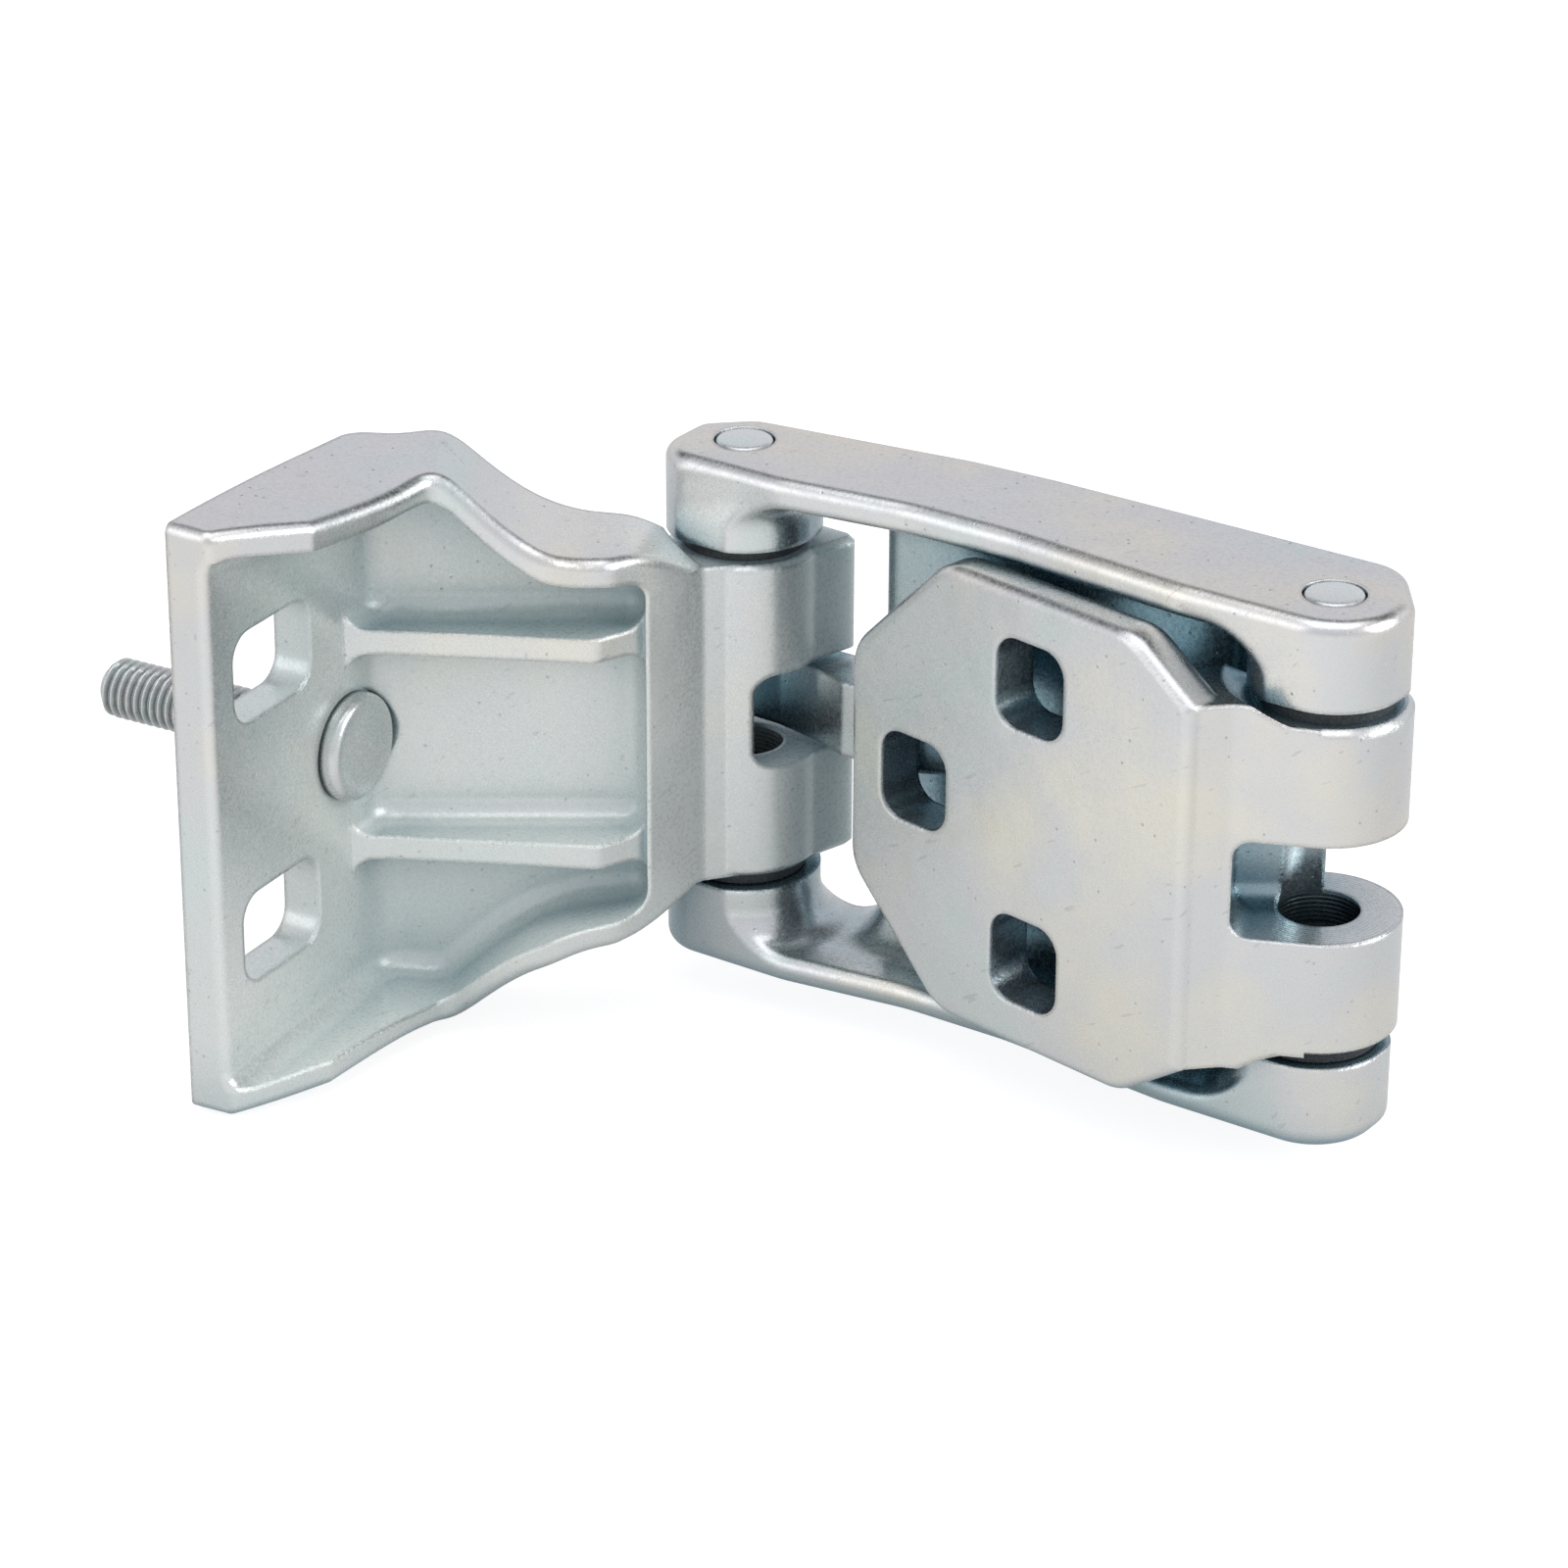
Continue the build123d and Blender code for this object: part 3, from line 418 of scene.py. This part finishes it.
def white_paper(name, paper):
    """Matt white studio paper: white to the camera and in reflections, and it keeps shadows.

    To reflections it glows, a painted reflection that is brightest in front, on the
    bearing of that glow, which the metal shows and the camera doesn't.
    """
    glow_bearing = radians(200)
    camera_sheen = 0.86
    material, tree = new_material(name)
    place = add_node(tree, "ShaderNodeTexCoord")["Object"]
    # Painted reflection: the glow that reflections see, strongest towards the front bearing; the camera
    # sees it lifted to white
    way = add_node(tree, "ShaderNodeVectorMath", {"operation": "NORMALIZE"}, {0: place})["Vector"]
    sockets = {0: way, 1: (cos(glow_bearing), sin(glow_bearing), 0)}
    facing = add_node(tree, "ShaderNodeVectorMath", {"operation": "DOT_PRODUCT"}, sockets)["Value"]
    sockets = {"Value": facing, "From Min": 0.1, "From Max": 0.95, "To Min": 0.42, "To Max": 0.7}
    glow_strength = add_node(tree, "ShaderNodeMapRange", {}, sockets)["Result"]

    path = add_node(tree, "ShaderNodeLightPath")
    largest = {"operation": "MAXIMUM"}
    product = {"operation": "MULTIPLY"}
    sockets = {0: path["Is Camera Ray"], 1: path["Is Glossy Ray"]}
    seen = add_node(tree, "ShaderNodeMath", largest, sockets)["Value"]
    seen = add_node(tree, "ShaderNodeMath", largest, {0: seen, 1: path["Is Transmission Ray"]})["Value"]
    sockets = {0: path["Is Camera Ray"], 1: camera_sheen}
    lift = add_node(tree, "ShaderNodeMath", product, sockets)["Value"]
    glow_strength = add_node(tree, "ShaderNodeMath", largest, {0: glow_strength, 1: lift})["Value"]
    glow_strength = add_node(tree, "ShaderNodeMath", product, {0: glow_strength, 1: seen})["Value"]

    matt = add_node(tree, "ShaderNodeBsdfDiffuse", {}, {"Color": paper})["BSDF"]
    sockets = {"Color": linear("#FFFFFF"), "Strength": glow_strength}
    glow = add_node(tree, "ShaderNodeEmission", {}, sockets)["Emission"]
    both = add_node(tree, "ShaderNodeAddShader", {}, {0: matt, 1: glow})["Shader"]
    add_node(tree, "ShaderNodeOutputMaterial", {}, {"Surface": both})
    return material


def dress(name, material):
    """Gives a solid of the frame its material in every slot."""
    piece = frame["nodes"][name]
    if not piece.data.materials:
        piece.data.materials.append(material)
    for slot in piece.material_slots:
        slot.link = "OBJECT"
        slot.material = material


class HINGE_OT_dress_bracket(bpy.types.Operator):
    """Plate the body bracket"""

    bl_idname = "hinge.dress_bracket"
    bl_label = "Dress body bracket"

    def execute(self, context):
        plating = context.scene.hinge_plating
        finish = zinc_plated_forging("bracket_zinc_plated_forging", plating, 11, 1.0, axes["body_axis"])
        dress("body_bracket", finish)
        return {"FINISHED"}


class HINGE_OT_dress_link_arm(bpy.types.Operator):
    """Plate the link arm"""

    bl_idname = "hinge.dress_link_arm"
    bl_label = "Dress link arm"

    def execute(self, context):
        plating = context.scene.hinge_plating
        finish = zinc_plated_forging("arm_zinc_plated_forging", plating, 29, 0.15)
        dress("link_arm", finish)
        return {"FINISHED"}


class HINGE_OT_dress_leaf(bpy.types.Operator):
    """Plate the door leaf"""

    bl_idname = "hinge.dress_leaf"
    bl_label = "Dress door leaf"

    def execute(self, context):
        plating = context.scene.hinge_plating
        finish = zinc_plated_forging("leaf_zinc_plated_forging", plating, 47, 0.15, axes["door_axis"])
        dress("door_leaf", finish)
        return {"FINISHED"}


def turned_piece(name, rings, to_point, around=64):
    """A closed turned mesh.

    Each ring is its place on the axis and its radius, or one radius per step round it.
    """
    mesh = bmesh.new()
    loops = []
    for place, radius in rings:
        radii = radius if isinstance(radius, list) else [radius] * around
        loop = []
        for at, reach in enumerate(radii):
            turn = 2 * pi * at / around
            loop.append(mesh.verts.new(to_point(place, reach * cos(turn), reach * sin(turn))))
        loops.append(loop)
    for first, second in zip(loops, loops[1:]):
        for at in range(around):
            after = (at + 1) % around
            mesh.faces.new((first[at], first[after], second[after], second[at]))
    mesh.faces.new(loops[0][::-1])
    mesh.faces.new(loops[-1])
    bmesh.ops.recalc_face_normals(mesh, faces=mesh.faces)
    data = bpy.data.meshes.new(name)
    mesh.to_mesh(data)
    mesh.free()
    for face in data.polygons:
        face.use_smooth = True
    piece = bpy.data.objects.new(name, data)
    bpy.context.scene.collection.objects.link(piece)
    return piece


class HINGE_OT_rivet_pins(bpy.types.Operator):
    """Make the four pins, each with a slightly domed riveted end in a fine groove"""

    bl_idname = "hinge.rivet_pins"
    bl_label = "Rivet pins"

    def execute(self, context):
        sizes = context.scene.hinge_pin
        steel = zinc_plated_rolled_steel("pin_zinc_plated_steel", context.scene.hinge_plating)
        chamfer = 0.5 * MM
        groove_drop, groove_step = 0.1 * MM, 0.05 * MM
        edge_drop, edge_step = 0.05 * MM, 0.15 * MM
        for end in ("body", "door"):
            for level, side in (("upper", 1), ("lower", -1)):
                low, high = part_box(f"{level}_{end}_pin")
                x, y, z = (low + high) / 2
                radius = (high.x - low.x) / 2
                tip = (high.z - low.z) / 2
                face_r = radius - sizes.rim
                rings = [
                    (-tip, radius - chamfer),
                    (-tip + chamfer, radius),
                    (tip - sizes.groove - groove_drop, radius),
                    (tip - sizes.groove, radius - groove_step),
                    (tip - sizes.dome - edge_drop, face_r),
                    (tip - sizes.dome, face_r - edge_step),
                ]
                for share in (0.8, 0.6, 0.4, 0.2, 0.05):
                    rings.append((tip - sizes.dome * share ** 2, face_r * share))
                piece = turned_piece(
                    f"riveted_{level}_{end}_pin", rings,
                    lambda place, across, out: (x + across, y + out, z + side * place),
                )
                piece.data.materials.append(steel)
                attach(piece, "link")
                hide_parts(f"{level}_{end}_pin")
        return {"FINISHED"}


class HINGE_OT_dress_bushes(bpy.types.Operator):
    """Line the four flanged bushes"""

    bl_idname = "hinge.dress_bushes"
    bl_label = "Dress bushes"

    def execute(self, context):
        lining = lined_bearing_bronze("bush_dark_lining")
        for end in ("body", "door"):
            for level in ("upper", "lower"):
                dress(f"{level}_{end}_bush", lining)
        return {"FINISHED"}


class HINGE_OT_thread_stud(bpy.types.Operator):
    """Make the stud with its rolled thread and dished head"""

    bl_idname = "hinge.thread_stud"
    bl_label = "Thread stud"

    def execute(self, context):
        sizes = context.scene.hinge_stud
        around = 48
        rows_per_turn = 12
        rim_steps = 6
        crest_share, flank_share = 0.12, 0.76
        tip_drop, tip_slope = 1.5 * MM, 1.1
        head_face = -sizes.plate - sizes.head_height
        rings = []
        for share in (0.05, 0.3, 0.55, 0.8, 1.0):
            rings.append((head_face + sizes.dish_depth * (1 - share ** 2), sizes.dish * share))
        for step in range(rim_steps + 1):
            turn = step / rim_steps * pi / 2
            radius = sizes.head - sizes.rim * (1 - sin(turn))
            rings.append((head_face + sizes.rim * (1 - cos(turn)), radius))
        rings += [(-sizes.plate, sizes.head), (-sizes.plate, sizes.shoulder)]
        rings += [(0.0, sizes.shoulder), (0.0, sizes.major - sizes.depth / 2)]
        # Rolled thread with flat crests and narrow roots, cut off by the cone at the tip
        rows = round(stud_tip / sizes.pitch * rows_per_turn)
        for row in range(1, rows + 1):
            place = row * stud_tip / rows
            cone = sizes.major - tip_drop + tip_slope * (stud_tip - place)
            radii = []
            for at in range(around):
                phase = place / sizes.pitch - at / around
                phase -= floor(phase)
                groove = min(1.0, max(0.0, (1 - abs(2 * phase - 1) - crest_share) / flank_share))
                radii.append(min(sizes.major - sizes.depth * groove, cone))
            rings.append((place, radii))
        stud = turned_piece(
            "threaded_stud", rings, lambda place, across, out: (across, place, out), around
        )
        steel = zinc_plated_rolled_steel("stud_zinc_plated_steel", context.scene.hinge_plating)
        stud.data.materials.append(steel)
        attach(stud, "bracket")
        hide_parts("mounting_stud")
        return {"FINISHED"}


class HINGE_OT_build_studio(bpy.types.Operator):
    """Lay the paper floor, hang the lamps and place the camera"""

    bl_idname = "hinge.build_studio"
    bl_label = "Build studio"

    def execute(self, context):
        scene = context.scene
        studio = scene.hinge_studio
        scene.view_settings.view_transform = "Standard"

        floor_gap, floor_radius = 0.5 * MM, 3.0
        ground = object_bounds()[0][2] - floor_gap
        mesh = bmesh.new()
        bmesh.ops.create_circle(mesh, cap_ends=True, segments=96, radius=floor_radius)
        bmesh.ops.translate(mesh, verts=mesh.verts, vec=(0, 0, ground))
        data = bpy.data.meshes.new("paper_floor")
        mesh.to_mesh(data)
        mesh.free()
        paper_floor = bpy.data.objects.new("paper_floor", data)
        scene.collection.objects.link(paper_floor)
        data.materials.append(white_paper("studio_paper", studio.paper))
        paper_floor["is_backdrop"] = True

        # The lamps point at the middle of the part; each has its place, size and power
        centre = Vector((0.020, -0.065, 0.0))
        lamps = (
            ("overhead_softbox", Vector((-0.10, -0.12, 0.90)), (0.8, 0.7), studio.key_watts),
            ("left_softbox", Vector((-0.75, 0.45, 0.35)), (0.5, 0.7), studio.fill_watts),
            ("right_softbox", Vector((0.25, -1.0, 0.45)), (0.7, 0.6), studio.side_watts),
        )
        for name, place, (wide, high), watts in lamps:
            light = bpy.data.lights.new(name, "AREA")
            light.shape = "RECTANGLE"
            light.size = wide
            light.size_y = high
            light.energy = watts
            lamp = bpy.data.objects.new(name, light)
            lamp.location = place
            lamp.rotation_euler = (centre - place).to_track_quat("-Z", "Y").to_euler()
            scene.collection.objects.link(lamp)

        world = bpy.data.worlds.new("studio_room")
        scene.world = world
        world.use_nodes = True
        tree = world.node_tree
        tree.nodes.clear()
        backdrop_bearing = radians(30)
        way = add_node(tree, "ShaderNodeTexCoord")["Generated"]
        up = add_node(tree, "ShaderNodeSeparateXYZ", {}, {"Vector": way})["Z"]
        sockets = {0: way, 1: (cos(backdrop_bearing), sin(backdrop_bearing), 0)}
        behind = add_node(tree, "ShaderNodeVectorMath", {"operation": "DOT_PRODUCT"}, sockets)["Value"]

        # Each mask: its source, where it starts and where it is full. A dark strip
        # over the backdrop draws the line beside each bright edge.
        limits = {
            "walls": (up, -0.1, 0.3),
            "over_backdrop": (up, 0.54, 0.64),
            "under_ceiling": (up, 0.88, 0.78),
            "behind": (behind, 0.05, 0.3),
        }
        masks = {}
        for mask, (source, start, full) in limits.items():
            sockets = {"Value": source, "From Min": start, "From Max": full}
            masks[mask] = add_node(tree, "ShaderNodeMapRange", {}, sockets)["Result"]
        strip = masks["over_backdrop"]
        for mask in ("under_ceiling", "behind"):
            sockets = {0: strip, 1: masks[mask]}
            strip = add_node(tree, "ShaderNodeMath", {"operation": "MULTIPLY"}, sockets)["Value"]

        # The camera sees plain white behind the part
        path = add_node(tree, "ShaderNodeLightPath")
        room = linear("#D3D4D8")
        for share, tint in (
            (masks["walls"], "#EDECF2"), (strip, "#4E5354"), (path["Is Camera Ray"], "#FFFFFF")
        ):
            sockets = {0: share, 6: room, 7: linear(tint)}
            room = add_node(tree, "ShaderNodeMix", {"data_type": "RGBA"}, sockets)[2]
        air = add_node(tree, "ShaderNodeBackground", {}, {"Strength": 1.0, "Color": room})["Background"]
        add_node(tree, "ShaderNodeOutputWorld", {}, {"Surface": air})

        # Place, heading and lens that show the part as the photo does
        lens = bpy.data.cameras.new("studio_camera")
        lens.sensor_width = 36.0
        lens.lens = 129.21
        lens.shift_x = 0.0315
        lens.shift_y = 0.0279
        lens.clip_start = 0.05
        camera = bpy.data.objects.new("studio_camera", lens)
        camera.location = (-544.7 * MM, -377.3 * MM, 304.6 * MM)
        heading, tilt = radians(30), radians(25.699)
        ahead = Vector((cos(heading) * cos(tilt), sin(heading) * cos(tilt), -sin(tilt)))
        camera.rotation_euler = ahead.to_track_quat("-Z", "Y").to_euler()
        scene.collection.objects.link(camera)
        scene.camera = camera
        return {"FINISHED"}


operators = (
    HINGE_OT_dress_bracket,
    HINGE_OT_dress_link_arm,
    HINGE_OT_dress_leaf,
    HINGE_OT_rivet_pins,
    HINGE_OT_dress_bushes,
    HINGE_OT_thread_stud,
    HINGE_OT_build_studio,
)


class HINGE_PT_panel(bpy.types.Panel):
    """Lists the pieces of the hinge and its studio"""

    bl_idname = "HINGE_PT_panel"
    bl_label = "Rear door hinge"
    bl_space_type = "VIEW_3D"
    bl_region_type = "UI"
    bl_category = "Hinge"

    def draw(self, context):
        scene = context.scene
        for settings in (scene.hinge_plating, scene.hinge_stud, scene.hinge_pin, scene.hinge_studio):
            box = self.layout.box()
            for name in settings.bl_rna.properties.keys():
                if name not in ("rna_type", "name"):
                    box.prop(settings, name)
        for operator in operators:
            self.layout.operator(operator.bl_idname)


classes = (HINGE_PG_plating, HINGE_PG_stud, HINGE_PG_pin, HINGE_PG_studio, *operators, HINGE_PT_panel)


def register():
    """Registers the classes and gives the scene its settings."""
    for item in classes:
        bpy.utils.register_class(item)
    bpy.types.Scene.hinge_plating = bpy.props.PointerProperty(type=HINGE_PG_plating)
    bpy.types.Scene.hinge_stud = bpy.props.PointerProperty(type=HINGE_PG_stud)
    bpy.types.Scene.hinge_pin = bpy.props.PointerProperty(type=HINGE_PG_pin)
    bpy.types.Scene.hinge_studio = bpy.props.PointerProperty(type=HINGE_PG_studio)


def unregister():
    """Takes away what register has added."""
    del bpy.types.Scene.hinge_studio
    del bpy.types.Scene.hinge_pin
    del bpy.types.Scene.hinge_stud
    del bpy.types.Scene.hinge_plating
    for item in reversed(classes):
        bpy.utils.unregister_class(item)


def main():
    """Builds every piece and the studio."""
    register()
    for operator in operators:
        group, action = operator.bl_idname.split(".")
        getattr(getattr(bpy.ops, group), action)()


if __name__ == "__main__":
    main()
